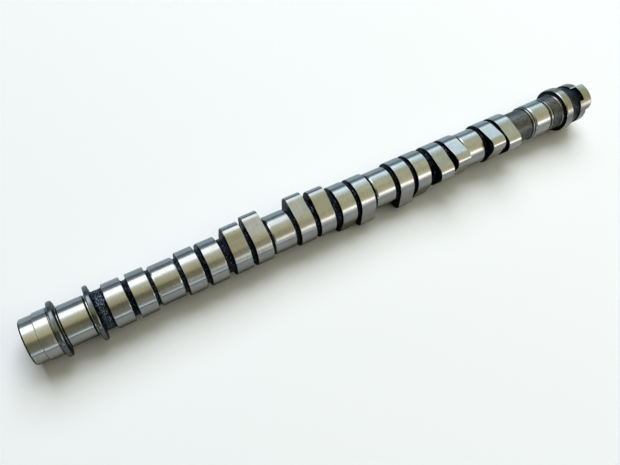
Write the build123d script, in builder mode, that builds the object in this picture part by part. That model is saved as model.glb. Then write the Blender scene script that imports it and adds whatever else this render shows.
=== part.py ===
"""Overhead camshaft of a four-cylinder, sixteen-valve engine, cast and ground in one piece.

Millimetres. X runs along the shaft, from the front nose to the rear drive head, and Z is up as the
shaft lies. The origin is on the axis, midway along the front thrust journal. An angle about the shaft
is counted from +Y towards +Z.
"""
import os
from math import acos, cos, degrees, radians, sin, tan

from build123d import *

# Valve gear layout: each cylinder has two lobes on either side of its journal
cylinder_pitch = 90.4
first_journal_x = 64.5
cylinder_angles = (-45.0, 45.0, -135.0, 135.0)
lobe_width = 13.0
journal_gap = 3.9
lobe_gap = 4.2
lobe_phase = 8.0

# Lobe profile: a base circle and a nose circle, joined by straight flanks
base_radius = 16.65
inner_lift = 6.05
inner_nose_radius = 7.5
outer_lift = 5.45
outer_nose_radius = 8.9
lobe_edge = 0.3

# Journals and the rough core between the lobes
journal_radius = 15.0
journal_width = 16.0
journal_bevel = 1.0
journal_bevel_depth = 0.6
core_radius = 13.2
core_foot = 1.2

# Front end: nose, thrust journal and the two thrust collars
nose_radius = 16.55
nose_length = 8.65
nose_chamfer = 1.0
seat_radius = 17.25
seat_length = 9.15
seat_chamfer = 0.3
nose_groove_width = 0.7
nose_groove_depth = 0.5
collar_radius = 20.4
collar_width = 3.4
collar_round = 0.6
thrust_width = 17.2
thrust_groove = 0.9
front_land = 0.6
rear_land = 1.0
seat_land = 0.7
collar_groove = 0.35
groove_depth = 0.6
front_neck_radius = 14.5

# Rear end: neck, journal, flange and drive head
rear_neck_radius = 13.7
rear_neck_length = 21.4
shoulder_radius = 14.8
shoulder_width = 4.1
shoulder_chamfer = 0.5
shoulder_ring = 1.2
rear_journal_width = 14.8
turned_length = 16.2
turned_radius = 14.8
ring_start = 2.4
ring_width = 1.7
ring_groove_width = 1.0
ring_groove_depth = 0.5
flange_radius = 19.2
flange_width = 7.3
flange_chamfer = 0.6
flange_foot = 2.2
flange_back_radius = 18.0
flange_back_length = 4.0
head_core_radius = 16.2
head_core_length = 6.6
head_radius = 17.4
head_rim_width = 6.2
head_rim_chamfer = 0.4
window_radius = 15.4
window_length = 5.0
window_width = 13.4
window_margin = 0.6
tang_angle = 108.0
tang_width = 22.6
tang_length = 7.7
tang_chamfer = 0.8
tang_corner_radius = 7.0

# Holes in the two ends
bolt_hole_radius = 5.35
bolt_hole_depth = 32.0
bolt_hole_chamfer = 0.9
dowel_radius = 3.0
dowel_depth = 9.0
dowel_offset = 11.0
dowel_angle = 90.0
centre_hole_radius = 1.6
centre_hole_depth = 6.0
centre_hole_chamfer = 2.0
drill_point = 59.0
drill_web = 0.5

# Places along the shaft that follow from the sizes above
journal_places = [first_journal_x + n * cylinder_pitch for n in range(len(cylinder_angles))]
inner_offset = journal_width / 2 + journal_gap
outer_offset = inner_offset + lobe_width + lobe_gap
last_lobe_end = journal_places[-1] + outer_offset + lobe_width
shoulder_x = last_lobe_end + rear_neck_length
rear_journal_x = shoulder_x + shoulder_width
turned_x = rear_journal_x + rear_journal_width
flange_x = turned_x + turned_length
head_core_x = flange_x + flange_width + flange_back_length
head_rim_x = head_core_x + head_core_length
tang_x = head_rim_x + head_rim_width
rear_end_x = tang_x + tang_length
head_turned_x = head_rim_x + head_rim_chamfer
tang_chamfer_x = rear_end_x - tang_chamfer
front_collar_x = -thrust_width / 2 - thrust_groove - front_land - collar_groove - collar_width
rear_collar_x = thrust_width / 2 + thrust_groove + rear_land + collar_groove
seat_end_x = front_collar_x - 2 * collar_groove - seat_land
seat_x = seat_end_x - seat_length
nose_x = seat_x - nose_groove_width - nose_length
neck_x = rear_collar_x + collar_width
first_lobe_x = journal_places[0] - outer_offset - lobe_width
ring_x = turned_x + ring_start
tang_direction = (0, cos(radians(tang_angle)), sin(radians(tang_angle)))
rim_plane = Plane(origin=(head_rim_x, 0, 0), x_dir=tang_direction, z_dir=(1, 0, 0))
tang_plane = Plane(origin=(tang_x, 0, 0), x_dir=(1, 0, 0), z_dir=[-part for part in tang_direction])
dowel_direction = (0, cos(radians(dowel_angle)), sin(radians(dowel_angle)))
nose_plane = Plane(origin=(nose_x, 0, 0), x_dir=dowel_direction, z_dir=(-1, 0, 0))
lobe_walls = [
    (journal_x + side * (offset + depth), side * toward)
    for journal_x in journal_places
    for side in (-1, 1)
    for offset in (inner_offset, outer_offset)
    for depth, toward in ((0, -1), (lobe_width, 1))
]


def band(start, length, radius, edge=0.0, rounded=False):
    """Add a round band to the half section, with its rims chamfered or rounded."""
    end = start + length
    with BuildLine() as outline:
        Polyline((start, radius - edge), (start, 0), (end, 0), (end, radius - edge))
        if edge > 0 and rounded:
            RadiusArc((start, radius - edge), (start + edge, radius), edge)
            RadiusArc((end - edge, radius), (end, radius - edge), edge)
        elif edge > 0:
            Line((start, radius - edge), (start + edge, radius))
            Line((end - edge, radius), (end, radius - edge))
        Line((start + edge, radius), (end - edge, radius))
    make_face(outline.edges())


def taper(start, length, start_radius, end_radius):
    """Add a conical band to the half section."""
    end = start + length
    Polygon((start, 0), (end, 0), (end, end_radius), (start, start_radius), align=None)


def flare(wall_x, radius, size, toward):
    """Add the sloping foot of a wall on a band of this radius, on the side given by toward."""
    foot_x = wall_x + toward * size
    Polygon((wall_x, 0), (wall_x, radius + size), (foot_x, radius), (foot_x, 0), align=None)


def groove(start, width, bottom_radius):
    """Cut a square groove into the half section."""
    with Locations((start, bottom_radius)):
        Rectangle(width, collar_radius - bottom_radius, align=(Align.MIN, Align.MIN), mode=Mode.SUBTRACT)


def drilled(mouth_x, radius, depth, chamfer_size, inward):
    """Cut a chamfered hole on the axis, with a drill point, from a mouth towards the inside."""
    wall_x = mouth_x + inward * chamfer_size
    floor_x = mouth_x + inward * depth
    point_x = floor_x + inward * (radius - drill_web) / tan(radians(drill_point))
    Polygon(
        (mouth_x, 0),
        (mouth_x, radius + chamfer_size),
        (wall_x, radius),
        (floor_x, radius),
        (point_x, drill_web),
        (point_x, 0),
        align=None,
        mode=Mode.SUBTRACT,
    )


def bearing(start, width):
    """Add a ground journal to the half section, with a sloping bevel at each end."""
    low = journal_radius - journal_bevel_depth
    band(start, width, journal_radius)
    taper(start - journal_bevel, journal_bevel, low, journal_radius)
    taper(start + width, journal_bevel, journal_radius, low)


def cam_lobe(lift, nose_radius_of_lobe):
    """Make one lobe with its nose towards +Y, from x = 0 to its width."""
    nose_offset = base_radius + lift - nose_radius_of_lobe
    flank = degrees(acos((base_radius - nose_radius_of_lobe) / nose_offset))
    base_point = (base_radius * cos(radians(flank)), base_radius * sin(radians(flank)))
    nose_point = (
        nose_offset + nose_radius_of_lobe * cos(radians(flank)),
        nose_radius_of_lobe * sin(radians(flank)),
    )
    with BuildPart() as lobe:
        with BuildSketch(Plane.YZ):
            with BuildLine():
                Line(base_point, nose_point)
                ThreePointArc(nose_point, (base_radius + lift, 0), (nose_point[0], -nose_point[1]))
                Line((nose_point[0], -nose_point[1]), (base_point[0], -base_point[1]))
                ThreePointArc((base_point[0], -base_point[1]), (-base_radius, 0), base_point)
            make_face()
        extrude(amount=lobe_width)
        chamfer(lobe.edges().filter_by(Axis.X, reverse=True), lobe_edge)
    return lobe.part


inner_lobe = cam_lobe(inner_lift, inner_nose_radius)
outer_lobe = cam_lobe(outer_lift, outer_nose_radius)

with BuildPart() as camshaft:
    with BuildSketch(Plane.XZ):
        # Front nose and sprocket seat
        taper(nose_x, nose_chamfer, nose_radius - nose_chamfer, nose_radius)
        band(nose_x + nose_chamfer, nose_length - nose_chamfer, nose_radius)
        band(nose_x + nose_length, nose_groove_width, nose_radius - nose_groove_depth)
        band(seat_x, seat_length, seat_radius, seat_chamfer)

        # Thin land between the seat and the front collar
        band(seat_end_x, front_collar_x - seat_end_x, seat_radius)
        for groove_x in (seat_end_x, front_collar_x - collar_groove):
            groove(groove_x, collar_groove, seat_radius - groove_depth)

        # Thrust journal, with a groove and a thin land on each side, between its collars
        band(front_collar_x, rear_collar_x - front_collar_x, journal_radius)
        for groove_x in (-thrust_width / 2 - thrust_groove, thrust_width / 2):
            groove(groove_x, thrust_groove, journal_radius - groove_depth)
        for groove_x in (front_collar_x + collar_width, rear_collar_x - collar_groove):
            groove(groove_x, collar_groove, journal_radius - groove_depth)
        band(front_collar_x, collar_width, collar_radius, collar_round, rounded=True)
        band(rear_collar_x, collar_width, collar_radius, collar_round, rounded=True)

        # Rough neck behind the rear collar, and the rough core
        band(neck_x, first_lobe_x - neck_x, front_neck_radius)
        flare(neck_x, front_neck_radius, core_foot, 1)
        flare(first_lobe_x, front_neck_radius, core_foot, -1)
        band(first_lobe_x, last_lobe_end - first_lobe_x, core_radius)

        # Cylinder journals, and the cast fillets at the walls of the lobes
        for journal_x in journal_places:
            bearing(journal_x - journal_width / 2, journal_width)
        for wall_x, toward in lobe_walls:
            if first_lobe_x < wall_x < last_lobe_end:
                flare(wall_x, core_radius, core_foot, toward)

        # Rear neck, grooved shoulder and rear journal
        band(last_lobe_end, rear_neck_length, rear_neck_radius)
        flare(last_lobe_end, rear_neck_radius, core_foot, 1)
        band(shoulder_x, shoulder_width - journal_bevel, shoulder_radius, shoulder_chamfer)
        groove(shoulder_x + shoulder_ring, ring_groove_width, shoulder_radius - ring_groove_depth)
        bearing(rear_journal_x, rear_journal_width)

        # Turned length with a thin ring between two grooves, then the flange
        band(turned_x, turned_length, turned_radius)
        for groove_x in (ring_x - ring_groove_width, ring_x + ring_width):
            groove(groove_x, ring_groove_width, turned_radius - ring_groove_depth)
        flare(flange_x, turned_radius, flange_foot, -1)
        band(flange_x, flange_width, flange_radius, flange_chamfer)
        flange_edge = flange_radius - flange_chamfer
        taper(flange_x + flange_width, flange_back_length, flange_edge, flange_back_radius)

        # Drive head: a rough barrel, a machined rim, and the round blank of the tang
        band(head_core_x, head_core_length, head_core_radius)
        taper(head_rim_x, head_rim_chamfer, head_radius - head_rim_chamfer, head_radius)
        band(head_turned_x, tang_chamfer_x - head_turned_x, head_radius)
        taper(tang_chamfer_x, tang_chamfer, head_radius, head_radius - tang_chamfer)

        # Threaded hole in the nose, and the centre hole in the tang
        drilled(nose_x, bolt_hole_radius, bolt_hole_depth, bolt_hole_chamfer, 1)
        drilled(rear_end_x, centre_hole_radius, centre_hole_depth, centre_hole_chamfer, -1)
    revolve(axis=Axis.X)

    # Two flats and a round corner leave the tang across the end
    with BuildSketch(tang_plane):
        Rectangle(tang_length, 2 * flange_radius, align=(Align.MIN, Align.CENTER))
        with BuildLine():
            Polyline((0, tang_width / 2), (0, -tang_width / 2), (tang_length, -tang_width / 2))
            Line((tang_length, -tang_width / 2), (tang_length, tang_width / 2 - tang_corner_radius))
            RadiusArc(
                (tang_length - tang_corner_radius, tang_width / 2),
                (tang_length, tang_width / 2 - tang_corner_radius),
                tang_corner_radius,
            )
            Line((tang_length - tang_corner_radius, tang_width / 2), (0, tang_width / 2))
        make_face(mode=Mode.SUBTRACT)
    extrude(amount=flange_radius, both=True, mode=Mode.SUBTRACT)

    # A window in one side of the rim, from the line of one flat to below the middle
    with BuildSketch(rim_plane):
        with Locations((0, window_margin - tang_width / 2)):
            Rectangle(flange_radius, window_width, align=(Align.MIN, Align.MIN))
        Circle(window_radius, mode=Mode.SUBTRACT)
    extrude(amount=window_length, mode=Mode.SUBTRACT)

    # Dowel hole beside the threaded hole
    with Locations(nose_plane):
        with Locations((dowel_offset, 0)):
            Hole(dowel_radius, dowel_depth)

    # Sixteen lobes
    for journal_x, cylinder_angle in zip(journal_places, cylinder_angles):
        for master, offset, phase in (
            (inner_lobe, inner_offset, -lobe_phase),
            (outer_lobe, outer_offset, lobe_phase),
        ):
            for lobe_x in (journal_x - offset - lobe_width, journal_x + offset):
                with Locations(Location((lobe_x, 0, 0), (cylinder_angle + phase, 0, 0))):
                    add(master)

camshaft.part.label = "camshaft"
os.makedirs("parts", exist_ok=True)
export_step(camshaft.part, "parts/camshaft.step")
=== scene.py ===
"""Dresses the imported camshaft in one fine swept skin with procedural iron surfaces.

The skin is a stack of closed rings along X, from the nose to the drive tang. Its sizes are in
millimetres, and one that the part's source has too goes by the same name. An angle about the shaft is
counted from +Y towards +Z. The floor, the lamps and the camera are in metres.
"""

import math

import bmesh
import bpy
import numpy as np
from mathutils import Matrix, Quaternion, Vector, noise
from mathutils.geometry import delaunay_2d_cdt


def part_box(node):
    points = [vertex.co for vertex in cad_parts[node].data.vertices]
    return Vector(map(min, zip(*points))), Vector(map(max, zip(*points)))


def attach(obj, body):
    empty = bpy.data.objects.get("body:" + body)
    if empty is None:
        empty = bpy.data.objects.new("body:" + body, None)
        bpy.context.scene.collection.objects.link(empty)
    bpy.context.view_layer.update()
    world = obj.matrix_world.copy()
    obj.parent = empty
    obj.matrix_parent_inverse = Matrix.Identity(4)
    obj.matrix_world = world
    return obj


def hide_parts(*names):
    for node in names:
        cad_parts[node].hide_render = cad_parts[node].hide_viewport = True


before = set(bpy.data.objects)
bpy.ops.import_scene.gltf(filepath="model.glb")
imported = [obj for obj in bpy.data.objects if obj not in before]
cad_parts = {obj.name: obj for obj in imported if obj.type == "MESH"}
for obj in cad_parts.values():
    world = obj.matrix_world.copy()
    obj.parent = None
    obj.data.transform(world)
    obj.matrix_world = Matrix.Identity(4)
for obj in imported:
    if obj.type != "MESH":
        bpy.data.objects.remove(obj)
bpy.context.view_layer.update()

MM = 0.001
TINY = 1e-9
AROUND = 192
PHI = np.arange(AROUND) * 2 * np.pi / AROUND

# The surfaces that a face can have, in the order of the materials
GROUND, CAST_AND_SHADE, TURNED, NOSE, HEAD, HOLE, PAINTED_SHADE, LAND_AND_HIGHLIGHT, NECK, COLLAR, NECK_CAST = range(11)

# ---------------------------------------------------------------- sizes in millimetres

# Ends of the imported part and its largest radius, which is that of its collars
low_corner, high_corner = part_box("camshaft")
nose_x = round(low_corner.x / MM, 2)
rear_end_x = round(high_corner.x / MM, 2)
box_radius = round(high_corner.z / MM, 2)

# Cylinders: each has two lobes on either side of its journal
cylinder_pitch = 90.4
first_journal_x = 64.5
cylinder_angles = (-45.0, 45.0, -135.0, 135.0)
lobe_width = 13.0
journal_gap = 3.9
lobe_gap = 4.2
lobe_phase = 8.0

# Lobe profile: a base circle and a nose circle, joined by straight flanks
base_radius = 16.65
inner_lift = 6.05
inner_nose_radius = 7.5
outer_lift = 5.45
outer_nose_radius = 8.9
lobe_edge = 0.3
lobe_edge_middle = 0.09
wall_cast_share = 0.55
foot_reach = 1.25
lobe_foot = ((foot_reach, 0.0), (0.4, 0.4), (0.05, 1.2))  # distance from the wall, height above the core

# Journals and the rough core between the lobes
journal_radius = 15.0
journal_width = 16.0
journal_bevel = 1.0
journal_bevel_depth = 0.6
journal_edge = 0.08
journal_edge_drop = 0.06
core_radius = 13.2

# How far noise moves a surface that isn't ground, and how far apart its rings stand
core_rough = 0.2
wall_rough = 0.16
front_neck_rough = 0.42
barrel_rough = 0.22
foot_rough = 0.05
rear_neck_rough = 0.05
turned_rough = 0.02
flange_back_rough = 0.03
core_step = 0.9
front_neck_step = 0.45
barrel_step = 0.8

# Grooves: the broken edge at each side, the slope of the walls, and the gap to a bright land
groove_lip = 0.05
groove_slope = 0.01
land_gap = 0.1

# Front end: nose, seat, and the thrust journal between two collars
nose_radius = 16.55
nose_length = 8.65
nose_groove_width = 0.7
nose_line = 0.35
nose_edge = ((0.0, 1.0), (0.15, 0.85), (0.75, 0.25))  # distance from the front, drop below the nose
nose_edge_length = 1.05
seat_radius = 17.25
seat_length = 9.15
seat_chamfer = 0.3
seat_land = 0.7
box_margin = 0.02
collar_top = box_radius - box_margin
collar_width = 3.4
collar_rounding = 1.2
collar_steps = 6
# Steps of the rounding painted near-black as shade at the front, and steps at the rear that stay collar
# iron before the painted shade
collar_front_shaded = 2
collar_rear_unshaded = 3
collar_groove = 0.35
groove_depth = 0.6
front_relief = 0.4
thrust_half_width = 8.5
front_thrust_groove = 1.0
rear_thrust_groove = 1.15
rear_thrust_edge = 0.15
rear_thrust_land = 0.7
front_neck_radius = 14.5
front_neck_start = 1.5
front_neck_margin = 0.6
# Distance behind the collar, height above the neck, and how far noise moves it
front_neck_fillet = (
    (0.0, 2.1, 0.05), (0.05, 1.2, 0.1), (0.35, 0.5, 0.15), (0.75, 0.12, 0.25), (1.45, 0.0, 0.3),
)

# Rear end: neck, shoulder, journal, turned neck, flange and drive head
rear_neck_radius = 13.7
rear_neck_length = 21.4
rear_neck_rings = 12
rear_neck_start_gap = 0.1
rear_neck_end_gap = 0.9
rear_neck_shade_gap = 0.7
shoulder_radius = 14.8
shoulder_width = 4.1
shoulder_chamfer = 0.5
shoulder_ring = 1.2
shoulder_back_length = 0.4
shoulder_back_drop = 0.1
shoulder_foot_radius = 14.25
rear_journal_width = 14.8
turned_length = 16.2
turned_radius = 14.8
turned_rings = 9
turned_end_gap = 2.9
# Where the painted highlight before the flange's fillet starts
turned_highlight_gap = 2.6
ring_start = 2.4
ring_width = 1.7
ring_groove_width = 1.0
ring_groove_depth = 0.5
flange_radius = 19.2
flange_width = 7.3
flange_chamfer = 0.6
flange_foot = 2.2
# Steps round the flange's fillet: the first ones carry a painted highlight, the others painted shade
flange_foot_steps = 7
flange_foot_highlight = 3
flange_back_length = 4.0
# Distance from the barrel's start, radius, and how far noise moves it
flange_back = (
    (-2.6, 18.36, 0.06), (-1.2, 18.15, 0.06), (-0.1, 18.0, 0.08), (0.0, 17.9, 0.1),
    (0.0, 17.0, 0.15), (0.1, 16.5, 0.2), (0.5, 16.2, 0.2),
)
head_core_radius = 16.2
head_core_length = 6.6
head_core_edge = 0.1
head_radius = 17.4
head_rim_width = 6.2
head_rim_chamfer = 0.4
window_radius = 15.4
window_length = 5.0
window_width = 13.4
window_margin = 0.6
window_edge = 0.02
tang_angle = 108.0
tang_width = 22.6
tang_chamfer = 0.8
tang_corner_radius = 7.0
tang_steps = (0.0, 0.6, 1.6, 2.6, 3.6, 4.6, 5.6, 6.3, 6.9, 7.1, 7.3, 7.5, 7.65, 7.7)

# Holes in the two ends
bolt_hole_radius = 5.35
bolt_hole_depth = 32.0
bolt_hole_chamfer = 0.9
bolt_point_length = 2.9
thread_pitch = 1.75
thread_height = 0.72
thread_crest = 0.1
thread_steepness = 1.25
thread_flat = 0.12
thread_start = 0.75
thread_run_in = 1.2
thread_end = 27.0
thread_run_out = 1.5
rings_per_pitch = 7
dowel_radius = 3.0
dowel_depth = 9.0
dowel_chamfer = 0.25
dowel_offset = 11.0
centre_hole_radius = 1.6
centre_hole_depth = 6.0
centre_hole_chamfer = 2.0
centre_point_length = 0.7
drill_web = 0.5

# Places along the shaft that follow from the sizes above
seat_x = nose_x + nose_length + nose_groove_width
seat_end_x = seat_x + seat_length
front_collar_x = seat_end_x + 2 * collar_groove + seat_land
front_collar_end_x = front_collar_x + collar_width
rear_groove_x = thrust_half_width + rear_thrust_edge
rear_groove_end_x = rear_groove_x + rear_thrust_groove
rear_collar_x = rear_groove_end_x + rear_thrust_land + collar_groove
neck_x = rear_collar_x + collar_width
journal_places = [first_journal_x + n * cylinder_pitch for n in range(len(cylinder_angles))]
inner_start = journal_width / 2 + journal_gap
inner_end = inner_start + lobe_width
outer_start = inner_end + lobe_gap
outer_end = outer_start + lobe_width
shoulder_x = journal_places[-1] + outer_end + rear_neck_length
rear_journal_x = shoulder_x + shoulder_width
turned_x = rear_journal_x + rear_journal_width
ring_x = turned_x + ring_start
flange_x = turned_x + turned_length
flange_end_x = flange_x + flange_width
head_core_x = flange_end_x + flange_back_length
head_rim_x = head_core_x + head_core_length
window_end_x = head_rim_x + window_length
tang_x = head_rim_x + head_rim_width


# ---------------------------------------------------------------- cross-sections

def cam(lift, nose, angle, inset=0.0):
    """Radius of a straight-flanked cam profile at every sample, moved inwards by inset."""
    centre = base_radius + lift - nose
    flank = math.acos((base_radius - nose) / centre)
    base, tip = base_radius - inset, nose - inset
    turn = np.abs((PHI - math.radians(angle) + np.pi) % (2 * np.pi) - np.pi)
    nose_end = math.atan2(tip * math.sin(flank), centre + tip * math.cos(flank))
    radius = np.full(AROUND, base)
    on_flank = (turn > nose_end) & (turn < flank)
    radius[on_flank] = base / np.cos(turn[on_flank] - flank)
    on_nose = turn[turn <= nose_end]
    reach = np.sqrt(tip ** 2 - (centre * np.sin(on_nose)) ** 2)
    radius[turn <= nose_end] = centre * np.cos(on_nose) + reach
    return radius


def points(radius, phi=PHI):
    """The Y and Z of a ring from its radius, or radii, at every sample."""
    return np.stack([radius * np.cos(phi), radius * np.sin(phi)], axis=1)


# Every sample's angle, counted back from the direction of the tang, which is along its flats
TANG_TURN = math.radians(tang_angle)
THETA = (TANG_TURN - PHI + np.pi) % (2 * np.pi) - np.pi


def corner_drop(x):
    """Distance from the axis to the lower side of the tang, which rounds off towards the end."""
    along = max(0.0, x - (rear_end_x - tang_corner_radius))
    sagitta = tang_corner_radius - math.sqrt(max(tang_corner_radius ** 2 - along ** 2, 0.0))
    return tang_width / 2 - sagitta


def tang(radius, lower):
    """Round outline between two flats, with samples moved onto the four corners."""
    upper = tang_width / 2
    theta = THETA.copy()
    top, low = math.asin(upper / radius), math.asin(lower / radius)
    for target in (top, np.pi - top, -low, low - np.pi):
        gap = np.abs((theta - target + np.pi) % (2 * np.pi) - np.pi)
        theta[int(np.argmin(gap))] = target
    sine = np.sin(theta)
    limit = np.where(sine > 0, upper, lower) / np.maximum(np.abs(sine), TINY)
    return points(np.minimum(radius, limit), TANG_TURN - theta)


def rim(radius):
    """Round outline with the window cut into it between two lines parallel to the tang's middle."""
    high = tang_width / 2 - window_margin
    low = high - window_width
    theta = THETA.copy()
    radii = np.full(AROUND, float(radius))
    outer_high, outer_low = math.asin(high / radius), math.asin(low / radius)
    inner_high, inner_low = math.asin(high / window_radius), math.asin(low / window_radius)
    inside = [i for i in np.argsort(theta) if outer_low <= theta[i] <= outer_high]
    theta[inside[0]], theta[inside[-1]] = outer_low, outer_high
    between = inside[1:-1]
    theta[between] = np.linspace(inner_low, inner_high, len(between))
    radii[between] = window_radius
    return points(radii, TANG_TURN - theta)


def window_zones(outline, radius):
    """The surface of each face of a rim ring: the floor and sides of the window get the near-black cast
    skin, which darkens the cut partly as painted shade.
    """
    cut = np.hypot(outline[:, 0], outline[:, 1]) < (radius + window_radius) / 2
    return np.where(cut | np.roll(cut, -1), CAST_AND_SHADE, HEAD)


# ---------------------------------------------------------------- rings along the shaft

rings = []


def ring(x, outline, zone, rough=0.0):
    """Adds a ring, given as a radius, a radius per sample or points.

    zone is the surface from here to the next ring, and rough is how far noise moves this one.
    """
    if np.ndim(outline) < 2:
        outline = points(outline)
    rings.append((float(x), outline, np.broadcast_to(zone, AROUND), rough))


def land(start, end, radius, zone):
    """A plain cylinder."""
    ring(start, radius, zone)
    ring(end, radius, zone)


def even_rings(start, end, count, radius, zone, rough):
    """A cylinder with rings at even steps, so that the noise can shape it."""
    for x in np.linspace(start, end, count):
        ring(x, radius, zone, rough)


def rough_span(start, end, radius, zone=CAST_AND_SHADE, rough=core_rough, step=core_step):
    """Rings between two places, without the first and the last."""
    count = max(1, round((end - start) / step))
    for i in range(1, count):
        ring(start + (end - start) * i / count, radius, zone, rough)


def groove(start, end, depth, radius, zone=PAINTED_SHADE):
    """A narrow groove turned into a cylinder; unless told otherwise, its inside is painted near-black as
    shade.
    """
    ring(start, radius - groove_lip, zone)
    ring(start + groove_slope, radius - depth, zone)
    ring(end - groove_slope, radius - depth, zone)
    ring(end, radius - groove_lip, GROUND)


def wall(x, way, core, outline):
    """The side of a lobe, from the core to its rim. way is +1 where the lobe lies towards +X."""
    foot = core + lobe_foot[-1][1]
    full = outline(lobe_edge)
    rows = [(x - way * reach, core + height) for reach, height in lobe_foot]
    rows.append((x, foot + (full - foot) * wall_cast_share))
    cast_rows = len(rows)
    rows.append((x, full))
    rows.append((x + way * lobe_edge_middle, outline(lobe_edge_middle)))
    rows.append((x + way * lobe_edge, outline(0.0)))
    for i in range(len(rows))[::way]:
        strip = i if way > 0 else i - 1
        zone = CAST_AND_SHADE if strip < cast_rows else GROUND
        ring(*rows[i], zone, wall_rough if i < cast_rows else 0.0)


def lobe(x, lift, nose, angle, front_core, rear_core):
    """Both sides of a lobe, with its ground rim between them."""
    def outline(inset):
        return cam(lift, nose, angle, inset)

    wall(x, 1, front_core, outline)
    wall(x + lobe_width, -1, rear_core, outline)


def bearing(start, width, front_foot, rear_foot):
    """A ground journal with bevelled and slightly broken edges."""
    end = start + width
    low = journal_radius - journal_bevel_depth
    edge = journal_radius - journal_edge_drop
    ring(start - journal_bevel, front_foot, GROUND, foot_rough)
    ring(start - journal_bevel, low, GROUND)
    ring(start - journal_edge, edge, GROUND)
    land(start + journal_edge, end - journal_edge, journal_radius, GROUND)
    ring(end + journal_edge, edge, GROUND)
    ring(end + journal_bevel, low, CAST_AND_SHADE)
    ring(end + journal_bevel, rear_foot, CAST_AND_SHADE, foot_rough)


def collar(start, foot):
    """A thrust collar with rounded edges; its walls and the steps of its rounding next to them are
    painted near-black as shade, darker than its rim.
    """
    end = start + collar_width
    inner = collar_top - collar_rounding
    turns = [math.pi / 2 * i / collar_steps for i in range(collar_steps + 1)]
    ring(start, foot, PAINTED_SHADE)
    for i, a in enumerate(turns):
        x = start + collar_rounding * (1 - math.cos(a))
        ring(x, inner + collar_rounding * math.sin(a), PAINTED_SHADE if i < collar_front_shaded else COLLAR)
    for i, a in enumerate(turns):
        x = end - collar_rounding * (1 - math.sin(a))
        ring(x, inner + collar_rounding * math.cos(a), COLLAR if i < collar_rear_unshaded else PAINTED_SHADE)
    ring(end, foot, PAINTED_SHADE)


def nose():
    """Chamfered front edge, painted near-black as shade, and the thin bright line at the foot of the
    seat.
    """
    for along, drop in nose_edge:
        ring(nose_x + along, nose_radius - drop, PAINTED_SHADE)
    line_x = seat_x - nose_line
    land(nose_x + nose_edge_length, line_x - groove_lip, nose_radius, NOSE)
    groove(line_x, seat_x, nose_line, nose_radius, LAND_AND_HIGHLIGHT)


def seat():
    """The land for the seal, and the relief grooves in front of the first collar."""
    ring(seat_x, seat_radius - seat_chamfer, NOSE)
    land(seat_x + seat_chamfer, seat_end_x - seat_chamfer, seat_radius, NOSE)
    first_end = seat_end_x + collar_groove
    second_start = front_collar_x - collar_groove
    groove(seat_end_x, first_end, groove_depth, seat_radius)
    land(first_end + groove_lip, second_start - groove_lip, seat_radius, COLLAR)
    groove(second_start, front_collar_x - groove_slope, groove_depth, seat_radius)


def thrust_journal():
    """The ground journal between the collars, with a groove and a narrow land at each end."""
    front_groove_end = -thrust_half_width - groove_lip
    front_groove_x = front_groove_end - front_thrust_groove
    relief_end = front_collar_end_x + front_relief
    last_groove_x = rear_collar_x - collar_groove
    groove(front_collar_end_x, relief_end, groove_depth, journal_radius)
    land(relief_end + groove_lip, front_groove_x - groove_lip, journal_radius, GROUND)
    groove(front_groove_x, front_groove_end, groove_depth, journal_radius)
    land(-thrust_half_width, thrust_half_width, journal_radius, GROUND)
    groove(rear_groove_x, rear_groove_end_x, groove_depth, journal_radius)
    land(rear_groove_end_x + groove_lip, last_groove_x - land_gap, journal_radius, GROUND)
    groove(last_groove_x, rear_collar_x, groove_depth, journal_radius)


def front_neck():
    """The cast neck between the thrust end and the first lobe; at both ends the darker cast skin stands
    for painted shade.
    """
    # The fillet behind the collar is darker cast skin, as painted shade
    for along, height, rough in front_neck_fillet:
        ring(neck_x + along, front_neck_radius + height, CAST_AND_SHADE, rough)
    start = neck_x + front_neck_start
    end = journal_places[0] - outer_end - foot_reach - front_neck_margin
    rough_span(start, end, front_neck_radius, NECK_CAST, front_neck_rough, front_neck_step)
    # From here to the first lobe the darker cast skin stands for painted shade
    ring(end, front_neck_radius, CAST_AND_SHADE, front_neck_rough)


def cylinder(place, angle, front_core=core_radius, rear_core=core_radius):
    """Outer lobe, inner lobe, journal, inner lobe and outer lobe, with the core between them."""
    outer = outer_lift, outer_nose_radius, angle + lobe_phase
    inner = inner_lift, inner_nose_radius, angle - lobe_phase
    journal_end = journal_width / 2 + journal_bevel
    lobe(place - outer_end, *outer, front_core, core_radius)
    rough_span(place - outer_start + foot_reach, place - inner_end - foot_reach, core_radius)
    lobe(place - inner_end, *inner, core_radius, core_radius)
    rough_span(place - inner_start + foot_reach, place - journal_end, core_radius)
    bearing(place - journal_width / 2, journal_width, core_radius, core_radius)
    rough_span(place + journal_end, place + inner_start - foot_reach, core_radius)
    lobe(place + inner_start, *inner, core_radius, core_radius)
    rough_span(place + inner_end + foot_reach, place + outer_start - foot_reach, core_radius)
    lobe(place + outer_start, *outer, core_radius, rear_core)


def cylinders():
    first, second, third, fourth = zip(journal_places, cylinder_angles)
    cylinder(*first, front_core=front_neck_radius)
    core_between(first[0], second[0])
    cylinder(*second)
    core_between(second[0], third[0])
    cylinder(*third)
    core_between(third[0], fourth[0])
    cylinder(*fourth, rear_core=rear_neck_radius)


def core_between(place, next_place):
    """The core from one cylinder's last lobe to the next one's first."""
    rough_span(place + outer_end + foot_reach, next_place - outer_end - foot_reach, core_radius)


def rear_neck():
    """The turned neck behind the last lobe, with painted shade in the corner where it meets the shoulder.
    """
    start = journal_places[-1] + outer_end + foot_reach + rear_neck_start_gap
    end = shoulder_x - rear_neck_end_gap
    even_rings(start, end, rear_neck_rings, rear_neck_radius, NECK, rear_neck_rough)
    # Painted shade in the corner before the shoulder
    ring(shoulder_x - rear_neck_shade_gap, rear_neck_radius, PAINTED_SHADE)
    ring(shoulder_x, rear_neck_radius, PAINTED_SHADE)


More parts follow.
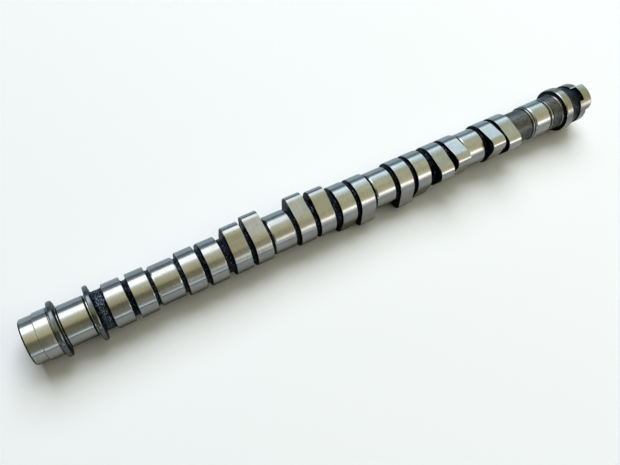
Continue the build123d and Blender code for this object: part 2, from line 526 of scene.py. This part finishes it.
def shoulder():
    """The stepped shoulder with its groove, and the rear journal behind it."""
    groove_x = shoulder_x + shoulder_ring
    groove_end = groove_x + ring_groove_width
    ring(shoulder_x, shoulder_radius - shoulder_chamfer, LAND_AND_HIGHLIGHT)
    land(shoulder_x + shoulder_chamfer, groove_x - land_gap, shoulder_radius, LAND_AND_HIGHLIGHT)
    groove(groove_x, groove_end, ring_groove_depth, shoulder_radius)
    ring(groove_end + land_gap, shoulder_radius, LAND_AND_HIGHLIGHT)
    bevel_x = rear_journal_x - journal_bevel
    ring(bevel_x - shoulder_back_length, shoulder_radius - shoulder_back_drop, TURNED)
    # Painted shade on the small step down to the journal's bevel
    ring(bevel_x, shoulder_radius - shoulder_chamfer, PAINTED_SHADE)
    rear_foot = journal_radius - journal_bevel_depth
    bearing(rear_journal_x, rear_journal_width, shoulder_foot_radius, rear_foot)


def turned_neck():
    """The turned neck, with a bright ring between two grooves, and a painted highlight where it runs into
    the flange's fillet.
    """
    ring(turned_x + journal_bevel, turned_radius, TURNED)
    ring_end = ring_x + ring_width
    neck_start = ring_end + ring_groove_width
    groove(ring_x - ring_groove_width, ring_x, ring_groove_depth, turned_radius)
    land(ring_x + land_gap, ring_end - land_gap, turned_radius, LAND_AND_HIGHLIGHT)
    groove(ring_end, neck_start, ring_groove_depth, turned_radius)
    end = flange_x - turned_end_gap
    even_rings(neck_start + land_gap, end, turned_rings, turned_radius, NECK, turned_rough)
    # A painted highlight starts here and runs onto the flange's fillet
    ring(flange_x - turned_highlight_gap, turned_radius, LAND_AND_HIGHLIGHT)


def flange():
    """The flange with its filleted foot and conical back; the fillet carries a painted highlight at its
    start, and painted shade over the rest of it and the flange's front wall.
    """
    rim_low = flange_radius - flange_chamfer
    for i in range(1, flange_foot_steps + 1):
        a = math.pi / 2 * i / flange_foot_steps
        x = flange_x - flange_foot * (1 - math.sin(a))
        radius = turned_radius + flange_foot * (1 - math.cos(a))
        ring(x, radius, LAND_AND_HIGHLIGHT if i < flange_foot_highlight else PAINTED_SHADE)
    ring(flange_x, rim_low - flange_chamfer, PAINTED_SHADE)
    ring(flange_x, rim_low, GROUND)
    land(flange_x + flange_chamfer, flange_end_x - flange_chamfer, flange_radius, HEAD)
    ring(flange_end_x, rim_low, CAST_AND_SHADE, flange_back_rough)
    for along, radius, rough in flange_back:
        ring(head_core_x + along, radius, CAST_AND_SHADE, rough)


def drive_head():
    """The cast barrel, and the ground rim with the window cut into it."""
    start = head_core_x + flange_back[-1][0]
    end = head_rim_x - 2 * head_core_edge
    rough_span(start, end, head_core_radius, CAST_AND_SHADE, barrel_rough, barrel_step)
    ring(head_rim_x - head_core_edge, head_core_radius, CAST_AND_SHADE, foot_rough)
    ring(head_rim_x, head_core_radius, CAST_AND_SHADE)
    low = head_radius - head_rim_chamfer
    ring(head_rim_x, rim(low), CAST_AND_SHADE)
    for x, radius in (
        (head_rim_x + window_edge, low + window_edge),
        (head_rim_x + head_rim_chamfer, head_radius),
        ((head_rim_x + head_rim_chamfer + window_end_x) / 2, head_radius),
        (window_end_x - window_edge, head_radius),
    ):
        outline = rim(radius)
        ring(x, outline, window_zones(outline, radius))
    ring(window_end_x, rim(head_radius), CAST_AND_SHADE)
    land(window_end_x, tang_x, head_radius, HEAD)


def drive_tang():
    """Two flats across the shaft, one rounded corner and a chamfered end."""
    for along in tang_steps:
        x = tang_x + along
        drop = max(0.0, x - (rear_end_x - tang_chamfer))
        ring(x, tang(head_radius - drop, corner_drop(x)), HEAD)


nose()
seat()
collar(front_collar_x, seat_radius - groove_depth)
thrust_journal()
collar(rear_collar_x, journal_radius - groove_depth)
front_neck()
cylinders()
rear_neck()
shoulder()
turned_neck()
flange()
drive_head()
drive_tang()


# ---------------------------------------------------------------- mesh

# Degrees that the surface may bend across a ring, or along it, and still be shaded smooth
SMOOTH_ACROSS = 14.0
SMOOTH_ALONG = 28.0

# Noise that shapes the cast surfaces: repeats per millimetre, and how much each kind counts
NOISE_SEED = 7
WIDE_NOISE = 0.44
WIDE_SHARE = 0.6
SMALL_NOISE = 1.43
SMALL_SHARE = 0.7
SMALL_NOISE_START = Vector((7.1, 3.3, 1.7))
ALONG_SHARE = 0.6

MERGE_DISTANCE = 1e-7
SMALLEST_AREA = 1e-5

# Samples round each hole
BOLT_SAMPLES = 48
DOWEL_SAMPLES = 36
CENTRE_SAMPLES = 40


class Skin:
    """Vertices and faces of the mesh, the surface of each face and the edges that stay sharp."""

    def __init__(self):
        self.verts, self.faces, self.zones, self.sharp = [], [], [], set()

    def loop(self, pts):
        first = len(self.verts)
        self.verts.extend(tuple(p) for p in pts)
        return list(range(first, len(self.verts)))

    def face(self, corners, zone):
        self.faces.append(tuple(corners))
        self.zones.append(int(zone))

    def strip(self, a, b, zone):
        """Faces between two loops of the same count; their outside shows with a on the side of -X."""
        zone = np.broadcast_to(zone, len(a))
        for k in range(len(a)):
            j = (k + 1) % len(a)
            self.face((a[k], a[j], b[j], b[k]), zone[k])

    def sharpen(self, start, end):
        self.sharp.add(tuple(sorted((start, end))))

    def crease(self, loop):
        for start, end in zip(loop, loop[1:] + loop[:1]):
            self.sharpen(start, end)


def bend(before, at, after):
    """Largest bend of the surface across a ring, in degrees."""
    u, v = at - before, after - at
    length_u, length_v = np.linalg.norm(u, axis=1), np.linalg.norm(v, axis=1)
    good = (length_u > TINY) & (length_v > TINY)
    if not good.any():
        return 0.0
    cosine = (u[good] * v[good]).sum(1) / (length_u[good] * length_v[good])
    return math.degrees(math.acos(float(np.clip(cosine.min(), -1, 1))))


def corners(outline):
    """Samples at which a ring turns a corner."""
    u = outline - np.roll(outline, 1, axis=0)
    v = np.roll(outline, -1, axis=0) - outline
    length = np.linalg.norm(u, axis=1) * np.linalg.norm(v, axis=1)
    cosine = (u * v).sum(1) / np.maximum(length, TINY)
    return np.flatnonzero(cosine < math.cos(math.radians(SMOOTH_ALONG)))


def rough_shift(p, amount):
    """Moves a point of an as-cast surface by smooth noise."""
    wide = noise.noise_vector(Vector(p) * WIDE_NOISE)
    small = noise.noise_vector(Vector(p) * SMALL_NOISE + SMALL_NOISE_START)
    move = (wide * WIDE_SHARE + small * SMALL_SHARE) * amount
    return p[0] + move.x * ALONG_SHARE, p[1] + move.y, p[2] + move.z


def inside_loop(p, loop):
    """Whether a flat point lies in a closed loop, by the edges that it has on one side."""
    hit = False
    for a, b in zip(loop, loop[1:] + loop[:1]):
        if (a.y > p.y) != (b.y > p.y) and p.x < (b.x - a.x) * (p.y - a.y) / (b.y - a.y) + a.x:
            hit = not hit
    return hit


def end_face(skin, outer, holes, zone, flip):
    """Fills a flat end face between an outer loop and round holes."""
    loops = [outer, *holes]
    ids = [i for loop in loops for i in loop]
    flat = [Vector(skin.verts[i][1:]) for i in ids]
    edges, start = [], 0
    for loop in loops:
        count = len(loop)
        edges.extend((start + k, start + (k + 1) % count) for k in range(count))
        start += count
    spots, _, faces, origins, *_ = delaunay_2d_cdt(flat, edges, [], 0, MERGE_DISTANCE)
    x = skin.verts[outer[0]][0]
    limit, *gaps = ([Vector(skin.verts[i][1:]) for i in loop] for loop in loops)
    vertex_of = []
    for spot, olds in zip(spots, origins):
        vertex_of.append(ids[olds[0]] if olds else skin.loop([(x, spot.x, spot.y)])[0])
    for face in faces:
        middle = sum((spots[i] for i in face), Vector((0, 0))) / len(face)
        a, b, c = (spots[i] for i in face[:3])
        area = (b - a).cross(c - a)
        in_hole = any(inside_loop(middle, gap) for gap in gaps)
        if abs(area) < SMALLEST_AREA or in_hole or not inside_loop(middle, limit):
            continue
        order = face if (area > 0) != flip else face[::-1]
        skin.face([vertex_of[i] for i in order], zone)


def round_loop(x, radius, count, height=0.0):
    """A circle, or a loop with a radius per sample, whose centre stands height above the axis."""
    a = np.arange(count) * 2 * np.pi / count
    radii = np.broadcast_to(radius, count)
    return [(x, radii[k] * math.cos(a[k]), height + radii[k] * math.sin(a[k])) for k in range(count)]


def drill(skin, x, way, profile, count, height=0.0, creased=True):
    """A blind hole in an end face; gives the loop of its mouth.

    profile lists depth and radius, from the mouth to the bottom. A hole that isn't creased is sharp
    at its mouth only.
    """
    rows = [skin.loop(round_loop(x + way * depth, radius, count, height)) for depth, radius in profile]
    for near, far in zip(rows, rows[1:]):
        skin.strip(*((far, near) if way > 0 else (near, far)), HOLE)
    for row in rows if creased else rows[:1]:
        skin.crease(row)
    skin.face(rows[-1][::-way], HOLE)
    return rows[0]


def thread_profile():
    """Mouth, thread, plain end and drill point of the bolt hole."""
    turn = np.arange(BOLT_SAMPLES) / BOLT_SAMPLES
    profile = [(0.0, bolt_hole_radius + bolt_hole_chamfer)]
    for depth in np.arange(thread_start, bolt_hole_depth, thread_pitch / rings_per_pitch):
        run_in = (depth - thread_start) / thread_run_in
        run_out = max(0.0, (thread_end - depth) / thread_run_out)
        tooth = 1 - np.abs(2 * ((depth / thread_pitch - turn) % 1.0) - 1)
        shape = np.clip(tooth * thread_steepness - thread_flat, 0, 1)
        cut = thread_height * shape - thread_crest
        profile.append((depth, bolt_hole_radius + min(1.0, run_in, run_out) * cut))
    profile.append((bolt_hole_depth, bolt_hole_radius))
    profile.append((bolt_hole_depth + bolt_point_length, drill_web))
    return profile


def front_face(skin, edge):
    """The front face, with the threaded bolt hole and the dowel hole."""
    bolt = drill(skin, nose_x, 1, thread_profile(), BOLT_SAMPLES, creased=False)
    dowel_profile = (
        (0.0, dowel_radius + dowel_chamfer),
        (dowel_chamfer, dowel_radius),
        (dowel_depth, dowel_radius),
    )
    dowel = drill(skin, nose_x, 1, dowel_profile, DOWEL_SAMPLES, dowel_offset)
    end_face(skin, edge, [bolt, dowel], NOSE, True)


def rear_face(skin, edge):
    """The end of the tang, with its centre hole."""
    profile = (
        (0.0, centre_hole_radius + centre_hole_chamfer),
        (centre_hole_chamfer, centre_hole_radius),
        (centre_hole_depth, centre_hole_radius),
        (centre_hole_depth + centre_point_length, drill_web),
    )
    centre = drill(skin, rear_end_x, -1, profile, CENTRE_SAMPLES)
    end_face(skin, edge, [centre], HEAD, False)


def sweep(skin):
    """Joins the rings, and marks the edges where the surface bends. Gives the first and last loop."""
    loops, clean = [], []
    for x, outline, zone, rough in rings:
        pts = [(x, float(y), float(z)) for y, z in outline]
        clean.append(np.array(pts))
        loops.append(skin.loop([rough_shift(p, rough) for p in pts] if rough else pts))
    last = len(rings) - 1
    for i in range(last):
        skin.strip(loops[i], loops[i + 1], rings[i][2])
    for i in range(last + 1):
        if i in (0, last) or bend(clean[i - 1], clean[i], clean[i + 1]) > SMOOTH_ACROSS:
            skin.crease(loops[i])
        if i > 0:
            for k in corners(clean[i]):
                skin.sharpen(loops[i - 1][k], loops[i][k])
    return loops[0], loops[last]


def make_mesh():
    """The whole skin as one mesh, in metres."""
    noise.seed_set(NOISE_SEED)
    skin = Skin()
    front_edge, rear_edge = sweep(skin)
    front_face(skin, front_edge)
    rear_face(skin, rear_edge)
    mesh = bpy.data.meshes.new("camshaft_skin")
    mesh.from_pydata([tuple(c * MM for c in v) for v in skin.verts], [], skin.faces)
    mesh.polygons.foreach_set("material_index", skin.zones)
    mesh.update()
    mesh.shade_smooth()
    sharp = mesh.attributes.new("sharp_edge", "BOOLEAN", "EDGE")
    sharp.data.foreach_set("value", [tuple(sorted(e.vertices)) in skin.sharp for e in mesh.edges])
    form = bmesh.new()
    form.from_mesh(mesh)
    bmesh.ops.remove_doubles(form, verts=form.verts, dist=MERGE_DISTANCE)
    form.to_mesh(mesh)
    form.free()
    return mesh


mesh = make_mesh()
shaft = bpy.data.objects.new("camshaft_skin", mesh)
bpy.context.scene.collection.objects.link(shaft)
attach(shaft, "root")
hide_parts("camshaft")


# ---------------------------------------------------------------- shader nodes

def new_material(name):
    material = bpy.data.materials.new(name)
    material.use_nodes = True
    tree = material.node_tree
    tree.nodes.clear()
    output = tree.nodes.new("ShaderNodeOutputMaterial")
    shader = tree.nodes.new("ShaderNodeBsdfPrincipled")
    tree.links.new(shader.outputs[0], output.inputs["Surface"])
    return material, tree, shader


def object_vector(tree, scale):
    coords = tree.nodes.new("ShaderNodeTexCoord")
    mapping = tree.nodes.new("ShaderNodeMapping")
    mapping.inputs["Scale"].default_value = scale
    tree.links.new(coords.outputs["Object"], mapping.inputs["Vector"])
    return mapping.outputs["Vector"]


def noise_node(tree, along, across, detail=4.0, roughness=0.6, distortion=0.0):
    """Noise with so many repeats per metre along the shaft and across it."""
    node = tree.nodes.new("ShaderNodeTexNoise")
    node.inputs["Scale"].default_value = 1.0
    node.inputs["Detail"].default_value = detail
    node.inputs["Roughness"].default_value = roughness
    node.inputs["Distortion"].default_value = distortion
    tree.links.new(object_vector(tree, (along, across, across)), node.inputs["Vector"])
    return node.outputs["Fac"]


def grey(value):
    return value, value, value


def ramp(tree, factor, stops):
    node = tree.nodes.new("ShaderNodeValToRGB")
    elements = node.color_ramp.elements
    while len(elements) < len(stops):
        elements.new(0.5)
    for element, (place, colour) in zip(elements, stops):
        element.position = place
        element.color = (*colour, 1.0)
    tree.links.new(factor, node.inputs["Fac"])
    return node.outputs["Color"]


def remap(tree, factor, low, high, from_low=0.3, from_high=0.7):
    node = tree.nodes.new("ShaderNodeMapRange")
    node.inputs["From Min"].default_value = from_low
    node.inputs["From Max"].default_value = from_high
    node.inputs["To Min"].default_value = low
    node.inputs["To Max"].default_value = high
    tree.links.new(factor, node.inputs["Value"])
    return node.outputs["Result"]


def mix(tree, factor, a, b, kind="MIX"):
    """Mixes two colours; each input is a number, a colour or a socket."""
    node = tree.nodes.new("ShaderNodeMix")
    node.data_type = "RGBA"
    node.blend_type = kind
    for name, value in (("Factor", factor), ("A", a), ("B", b)):
        socket = node.inputs[name]
        if isinstance(value, (int, float)):
            socket.default_value = value
        elif isinstance(value, tuple):
            socket.default_value = (*value, 1.0)
        else:
            tree.links.new(value, socket)
    return node.outputs["Result"]


def bump(tree, shader, height, strength, distance, normal=None):
    node = tree.nodes.new("ShaderNodeBump")
    node.inputs["Strength"].default_value = strength
    node.inputs["Distance"].default_value = distance
    tree.links.new(height, node.inputs["Height"])
    if normal is not None:
        tree.links.new(normal, node.inputs["Normal"])
    tree.links.new(node.outputs["Normal"], shader.inputs["Normal"])
    return node.outputs["Normal"]


# ---------------------------------------------------------------- iron surfaces

# Machined surfaces: how far marks and specks darken them, and how high marks and bands stand
MARK_SHADE = 0.35
SPECK_SHADE = 0.25
MARK_HEIGHT = 0.02 * MM
BAND_HEIGHT = 0.04 * MM
BAND_STRENGTH = 0.6

# Cast surfaces: the step of noise over which a glint sets in, and the grain on the lumps
GLINT_STEP = 0.14
CAST_ROUGHNESS = (0.28, 0.5)
GRAIN_HEIGHT = 0.35

# Stained surfaces: the noise at which a spot sets in and is whole, and how far it covers
SPOT_STEP = (0.5, 0.66)
RUST_COVER = 0.7
SPECKLE_COVER = 0.75
SPECKLE_COLOUR = (0.02, 0.022, 0.026)


def machined(name, dark, light, rough, lines, metallic=1.0, streak=1.0):
    """Ground or turned iron: fine marks round the shaft, soft stains and small dark specks."""
    material, tree, shader = new_material(name)
    marks = noise_node(tree, along=9000 * streak, across=60, detail=3.0)
    bands = noise_node(tree, along=1400 * streak, across=25, detail=3.0)
    stains = noise_node(tree, along=90, across=160, detail=5.0, distortion=0.4)
    specks = noise_node(tree, along=1500, across=1500, detail=3.0)
    tone = mix(tree, remap(tree, stains, 0.0, 1.0), dark, light)
    marks_shade = ramp(tree, marks, ((0.35, grey(0.45)), (0.62, grey(1.0))))
    tone = mix(tree, MARK_SHADE, tone, marks_shade, "MULTIPLY")
    specks_shade = ramp(tree, specks, ((0.36, (0.35, 0.33, 0.3)), (0.46, grey(1.0))))
    tone = mix(tree, SPECK_SHADE, tone, specks_shade, "MULTIPLY")
    tree.links.new(tone, shader.inputs["Base Color"])
    tree.links.new(remap(tree, bands, *rough), shader.inputs["Roughness"])
    shader.inputs["Metallic"].default_value = metallic
    shader.inputs["Anisotropic"].default_value = 0.75
    shader.inputs["Anisotropic Rotation"].default_value = 0.25
    tangent = tree.nodes.new("ShaderNodeTangent")
    tangent.direction_type = "RADIAL"
    tangent.axis = "X"
    tree.links.new(tangent.outputs["Tangent"], shader.inputs["Tangent"])
    first = bump(tree, shader, marks, lines, MARK_HEIGHT)
    bump(tree, shader, bands, lines * BAND_STRENGTH, BAND_HEIGHT, first)
    return material


def as_cast(name, dark, light, glint, height, share, scale):
    """Rough sand-cast iron, nearly black, with bluish glints on its lumps."""
    material, tree, shader = new_material(name)
    grain = noise_node(tree, along=1100, across=1100, detail=6.0, roughness=0.62)
    lumps = noise_node(tree, along=scale * 1.3, across=scale, distortion=0.3)
    stains = noise_node(tree, along=60, across=110, roughness=0.55)
    tone = mix(tree, remap(tree, stains, 0.0, 1.0), dark, light)
    tone = mix(tree, remap(tree, lumps, 0.0, 1.0, share, share + GLINT_STEP), tone, glint)
    tree.links.new(tone, shader.inputs["Base Color"])
    tree.links.new(remap(tree, grain, *CAST_ROUGHNESS), shader.inputs["Roughness"])
    shader.inputs["Metallic"].default_value = 1.0
    first = bump(tree, shader, lumps, 1.0, height)
    bump(tree, shader, grain, 1.0, height * GRAIN_HEIGHT, first)
    return material


def mottled(name, dark, light, warm, rough, lines):
    """Dull turned iron with darker speckles and warm stains."""
    material = machined(name, dark, light, rough, lines, metallic=0.85, streak=0.5)
    tree = material.node_tree
    shader = tree.nodes["Principled BSDF"]
    tone = shader.inputs["Base Color"].links[0].from_socket
    speckles = noise_node(tree, along=620, across=620)
    rust = noise_node(tree, along=170, across=260)
    tone = mix(tree, remap(tree, rust, 0.0, RUST_COVER, *SPOT_STEP), tone, warm)
    tone = mix(tree, remap(tree, speckles, 0.0, SPECKLE_COVER, *SPOT_STEP), tone, SPECKLE_COLOUR)
    tree.links.new(tone, shader.inputs["Base Color"])
    return material


surfaces = {
    GROUND: machined("ground_iron", (0.38, 0.38, 0.375), (0.46, 0.46, 0.455), (0.14, 0.22), 0.12),
    # Nearly black cast skin, darker than the front neck's: partly its own colour, partly painted shade in
    # the recesses between lobes and parts
    CAST_AND_SHADE: as_cast("cast_skin_and_shade", (0.003, 0.004, 0.008), (0.009, 0.012, 0.019),
                  glint=(0.08, 0.11, 0.17), height=0.3 * MM, share=0.55, scale=640),
    TURNED: machined("turned_iron", (0.10, 0.105, 0.11), (0.15, 0.155, 0.16), (0.34, 0.46), 0.5,
                     metallic=0.8, streak=0.35),
    NOSE: machined("nose_iron", (0.42, 0.415, 0.40), (0.51, 0.505, 0.49), (0.15, 0.23), 0.2),
    HEAD: machined("head_iron", (0.26, 0.26, 0.23), (0.36, 0.36, 0.32), (0.17, 0.27), 0.35),
    HOLE: machined("bored_iron", (0.08, 0.08, 0.08), (0.14, 0.14, 0.13), (0.3, 0.5), 0.3),
    # Near-black painted shade, in grooves and corners and on walls turned away from the light
    PAINTED_SHADE: machined("painted_shade_iron", (0.008, 0.009, 0.012), (0.016, 0.018, 0.022), (0.35, 0.5), 0.3),
    # Lighter turned iron of the lands, which also stands for a painted highlight at the foot of the
    # flange
    LAND_AND_HIGHLIGHT: machined("bright_land_and_highlight", (0.22, 0.225, 0.23), (0.30, 0.305, 0.31), (0.2, 0.3), 0.3),
    NECK: mottled("dull_neck", (0.08, 0.09, 0.10), (0.15, 0.16, 0.165), (0.12, 0.10, 0.08),
                  (0.42, 0.54), 0.5),
    COLLAR: machined("collar_iron", (0.13, 0.145, 0.15), (0.19, 0.205, 0.21), (0.12, 0.2), 0.3,
                     streak=0.6),
    NECK_CAST: as_cast("front_neck_skin", (0.009, 0.013, 0.019), (0.020, 0.029, 0.040),
                       glint=(0.24, 0.31, 0.39), height=0.22 * MM, share=0.52, scale=1100),
}
for zone in sorted(surfaces):
    mesh.materials.append(surfaces[zone])


# ---------------------------------------------------------------- floor

FLOOR_COLOUR = (0.90, 0.94, 1.0)
SURROUNDINGS = (0.90, 0.94, 0.96)
FLOOR_HALF = 4.0
MIRRORED_Y = (-0.15, 0.05)
MIRRORED_X = (-0.05, 0.45)
FADE_DISTANCE = (0.8, 2.6)

# What the shaft mirrors of the floor: its own shade on the near side, pale blue on the far side
MIRRORED_FRONT = (
    (0.0, (0.48, 0.53, 0.56)), (0.42, (0.45, 0.49, 0.51)), (0.54, (0.40, 0.43, 0.43)),
    (0.62, (0.29, 0.30, 0.27)), (0.68, (0.22, 0.23, 0.20)), (0.78, (0.22, 0.24, 0.24)),
    (1.0, (0.49, 0.62, 0.74)),
)
# Towards the rear end the shadow is softer, and warm light from the floor reaches the shaft
MIRRORED_REAR = (
    (0.0, (0.52, 0.57, 0.60)), (0.42, (0.54, 0.57, 0.57)), (0.54, (0.62, 0.64, 0.61)),
    (0.62, (0.66, 0.67, 0.61)), (0.68, (0.66, 0.66, 0.59)), (0.78, (0.60, 0.62, 0.60)),
    (1.0, (0.49, 0.62, 0.74)),
)
TOWARDS_REAR = ((0.0, grey(0.4)), (0.16, grey(0.0)), (0.5, grey(0.04)), (0.94, grey(1.0)))


def floor_surface():
    """Plain and pale for the camera, which sees it run into the surroundings far away."""
    material, tree, shader = new_material("floor_pale")
    seen = tree.nodes.new("ShaderNodeLightPath").outputs["Is Camera Ray"]
    place = tree.nodes.new("ShaderNodeSeparateXYZ")
    tree.links.new(object_vector(tree, (1, 1, 1)), place.inputs[0])
    mirrored = ramp(tree, remap(tree, place.outputs["Y"], 0.0, 1.0, *MIRRORED_Y), MIRRORED_FRONT)
    mirrored_rear = ramp(tree, remap(tree, place.outputs["Y"], 0.0, 1.0, *MIRRORED_Y), MIRRORED_REAR)
    rearwards = ramp(tree, remap(tree, place.outputs["X"], 0.0, 1.0, *MIRRORED_X), TOWARDS_REAR)
    mirrored = mix(tree, rearwards, mirrored, mirrored_rear)
    tree.links.new(mix(tree, seen, mirrored, FLOOR_COLOUR), shader.inputs["Base Color"])
    shader.inputs["Roughness"].default_value = 0.9
    shader.inputs["Specular IOR Level"].default_value = 0.1
    away = tree.nodes.new("ShaderNodeVectorMath")
    away.operation = "LENGTH"
    tree.links.new(object_vector(tree, (1, 1, 1)), away.inputs[0])
    fade = tree.nodes.new("ShaderNodeMath")
    fade.operation = "MULTIPLY"
    tree.links.new(remap(tree, away.outputs["Value"], 0.0, 1.0, *FADE_DISTANCE), fade.inputs[0])
    tree.links.new(seen, fade.inputs[1])
    pale = tree.nodes.new("ShaderNodeEmission")
    pale.inputs["Color"].default_value = (*SURROUNDINGS, 1.0)
    blend = tree.nodes.new("ShaderNodeMixShader")
    tree.links.new(fade.outputs["Value"], blend.inputs["Fac"])
    tree.links.new(shader.outputs["BSDF"], blend.inputs[1])
    tree.links.new(pale.outputs["Emission"], blend.inputs[2])
    tree.links.new(blend.outputs["Shader"], tree.nodes["Material Output"].inputs["Surface"])
    return material


floor_z = -box_radius * MM
floor_mesh = bpy.data.meshes.new("floor")
floor_signs = ((-1, -1), (1, -1), (1, 1), (-1, 1))
floor_corners = [(FLOOR_HALF * a, FLOOR_HALF * b, floor_z) for a, b in floor_signs]
floor_mesh.from_pydata(floor_corners, [], [(0, 1, 2, 3)])
floor_mesh.materials.append(floor_surface())
floor = bpy.data.objects.new("floor", floor_mesh)
bpy.context.scene.collection.objects.link(floor)


# ---------------------------------------------------------------- room and lamps

# The room as soft bands round the shaft: (angle above +Y over to -Y in degrees, colour)
ROOM_NEAR = (
    (0, (0.17, 0.22, 0.27)), (10, (0.21, 0.27, 0.325)), (24, (0.32, 0.40, 0.49)),
    (29, (1.0, 1.05, 1.1)), (32, (2.6, 2.7, 2.75)), (57, (2.8, 2.85, 2.8)),
    (63, (1.9, 1.95, 1.9)), (69, (1.2, 1.25, 1.15)), (78, (0.97, 0.965, 0.78)),
    (88, (0.90, 0.885, 0.62)), (98, (0.76, 0.735, 0.465)), (108, (0.60, 0.57, 0.355)),
    (116, (0.25, 0.24, 0.14)), (128, (0.22, 0.215, 0.13)), (140, (0.25, 0.25, 0.17)),
    (150, (0.24, 0.25, 0.19)), (160, (0.30, 0.33, 0.29)), (165, (0.60, 0.69, 0.67)),
    (171, (1.08, 1.25, 1.28)), (175, (0.90, 1.02, 1.05)), (177, (0.10, 0.13, 0.15)),
    (180, (0.14, 0.18, 0.20)),
)
ROOM_FAR = (
    (0, (0.24, 0.35, 0.46)), (9, (0.22, 0.33, 0.43)), (16, (0.31, 0.45, 0.55)),
    (20, (0.62, 0.80, 0.90)), (24, (1.20, 1.52, 1.70)), (30, (1.70, 2.15, 2.35)),
    (36, (1.66, 2.06, 2.22)), (40, (1.18, 1.46, 1.58)), (48, (1.08, 1.32, 1.36)),
    (58, (0.83, 0.97, 0.86)), (68, (0.79, 0.86, 0.66)), (78, (0.90, 0.925, 0.665)),
    (98, (0.88, 0.875, 0.565)), (112, (0.86, 0.835, 0.53)), (128, (1.0, 0.94, 0.64)),
    (138, (1.15, 1.10, 0.82)), (143, (1.6, 1.55, 1.3)), (146, (3.3, 3.2, 2.8)),
    (154, (3.2, 3.1, 2.8)), (160, (1.7, 1.7, 1.6)), (167, (0.78, 0.78, 0.76)),
    (180, (0.46, 0.48, 0.49)),
)
FAR_DIRECTION_X = (0.1, 0.42)


def room_bands(tree, share, bands):
    return ramp(tree, share, [(angle / 180, colour) for angle, colour in bands])


def make_room():
    """The world: pale for the camera, and bands of light and dark where the iron mirrors it."""
    world = bpy.data.worlds.new("studio")
    bpy.context.scene.world = world
    world.use_nodes = True
    tree = world.node_tree
    background = tree.nodes["Background"]
    direction = tree.nodes.new("ShaderNodeTexCoord")
    split = tree.nodes.new("ShaderNodeSeparateXYZ")
    tree.links.new(direction.outputs["Generated"], split.inputs[0])
    angle = tree.nodes.new("ShaderNodeMath")
    angle.operation = "ARCTAN2"
    tree.links.new(split.outputs["Z"], angle.inputs[0])
    tree.links.new(split.outputs["Y"], angle.inputs[1])
    share = remap(tree, angle.outputs[0], 0.0, 1.0, 0.0, math.pi)
    near = room_bands(tree, share, ROOM_NEAR)
    far = room_bands(tree, share, ROOM_FAR)
    room = mix(tree, remap(tree, split.outputs["X"], 0.0, 1.0, *FAR_DIRECTION_X), near, far)
    seen = tree.nodes.new("ShaderNodeLightPath").outputs["Is Camera Ray"]
    tree.links.new(mix(tree, seen, room, SURROUNDINGS), background.inputs["Color"])
    background.inputs["Strength"].default_value = 1.0
    world.cycles_visibility.diffuse = False


def panel(name, centre, side, target_x, radiance, colour):
    """A soft square lamp aimed at a place on the shaft; radiance is how bright its face looks."""
    light = bpy.data.lights.new(name, "AREA")
    light.shape = "SQUARE"
    light.size = side
    light.energy = radiance * math.pi * side ** 2
    light.color = colour
    lamp = bpy.data.objects.new(name, light)
    lamp.location = centre
    aim = Vector((target_x, 0.0, 0.0)) - Vector(centre)
    lamp.rotation_mode = "QUATERNION"
    lamp.rotation_quaternion = aim.to_track_quat("-Z", "Y")
    lamp.visible_glossy = False
    bpy.context.scene.collection.objects.link(lamp)


make_room()
panel("key", (1.5, 3.4, 4.9), side=4.8, target_x=0.2, radiance=5.45, colour=(0.945, 0.98, 1.0))
panel("fill", (1.0, -0.1, 1.6), side=2.4, target_x=0.3, radiance=1.0, colour=(1.0, 0.93, 0.68))


# ---------------------------------------------------------------- camera

# Fitted to the straight axis, the circles and the ends of the shaft in the photograph
EYE = Vector((0.03225, -0.13729, 0.42254))
LOOKS_AT = Vector((0.17679, -0.01079, 0.0))
ROLL = math.radians(21.802)

camera_data = bpy.data.cameras.new("camera")
camera_data.sensor_width = 36.0
camera_data.lens = 35.145
camera_data.clip_start = 0.01
camera_data.clip_end = 50.0
camera = bpy.data.objects.new("camera", camera_data)
camera.rotation_mode = "QUATERNION"
camera.location = EYE
camera.rotation_quaternion = (LOOKS_AT - EYE).to_track_quat("-Z", "Y") @ Quaternion((0.0, 0.0, 1.0), ROLL)
bpy.context.scene.collection.objects.link(camera)
bpy.context.scene.camera = camera

bpy.context.scene.view_settings.view_transform = "Standard"
